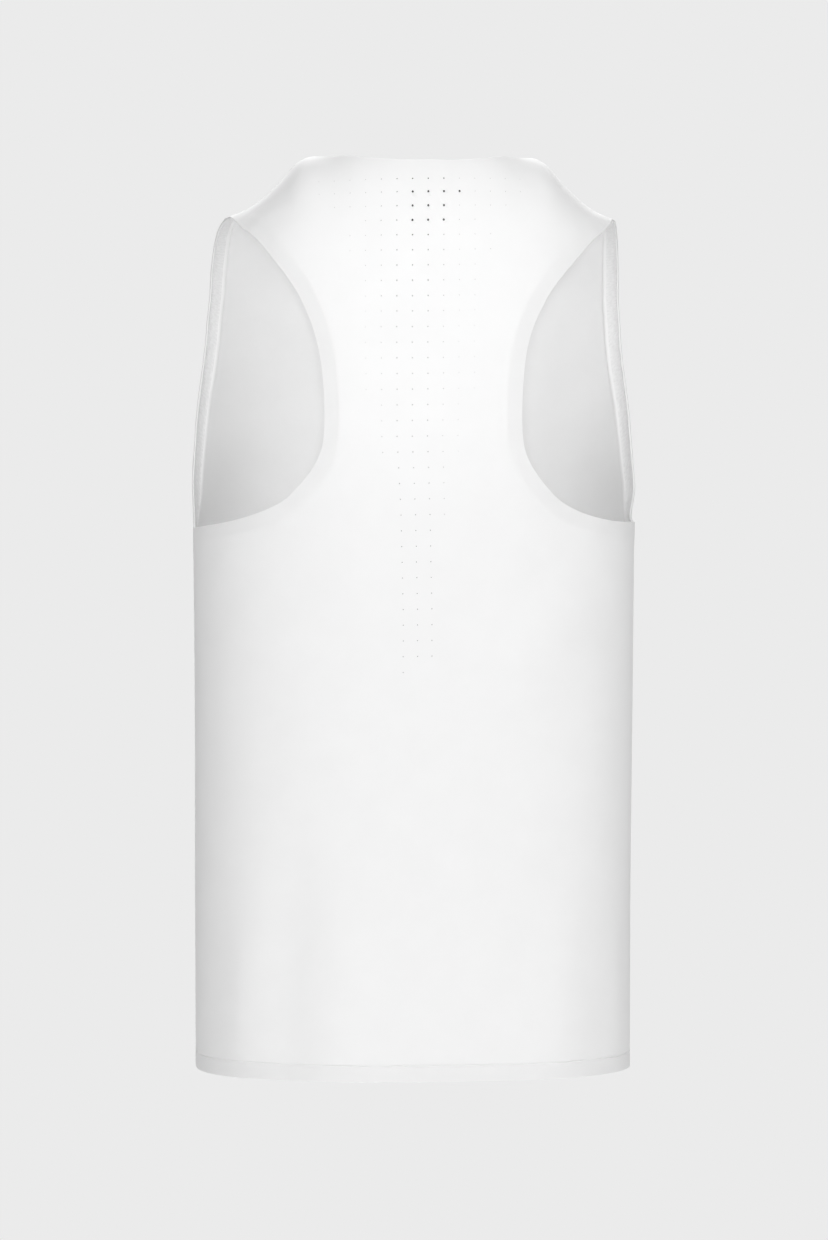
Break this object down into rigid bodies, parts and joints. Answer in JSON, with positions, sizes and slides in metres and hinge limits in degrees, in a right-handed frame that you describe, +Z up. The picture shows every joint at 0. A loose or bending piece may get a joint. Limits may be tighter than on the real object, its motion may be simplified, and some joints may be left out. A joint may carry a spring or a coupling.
{
  "type": "running singlet",
  "caption": "Sleeveless racerback running top in thin white knit, held open in its worn shape, with taped armholes and a turned-up hem.",
  "frame": {"origin": "between the two shoulder seams, at half their slope's height, where the wearer's shoulders hold the garment", "axes": "+Z up, the front faces +Y, the back with the racerback cut faces -Y, the wearer's left is -X"},
  "size_m": [0.3504, 0.2368, 0.7086],
  "materials": {
    "back_panel": "matte",
    "front_panel": "matte",
    "hem_back": "matte",
    "hem_front": "matte",
    "armhole_tape_left": "satin",
    "armhole_tape_right": "satin"
  },
  "bodies": {
    "root": {"back_panel": "back_panel", "front_panel": "front_panel", "hem_back": "hem_back", "hem_front": "hem_front", "armhole_tape_left": "armhole_tape_left", "armhole_tape_right": "armhole_tape_right"}
  },
  "joints": []
}
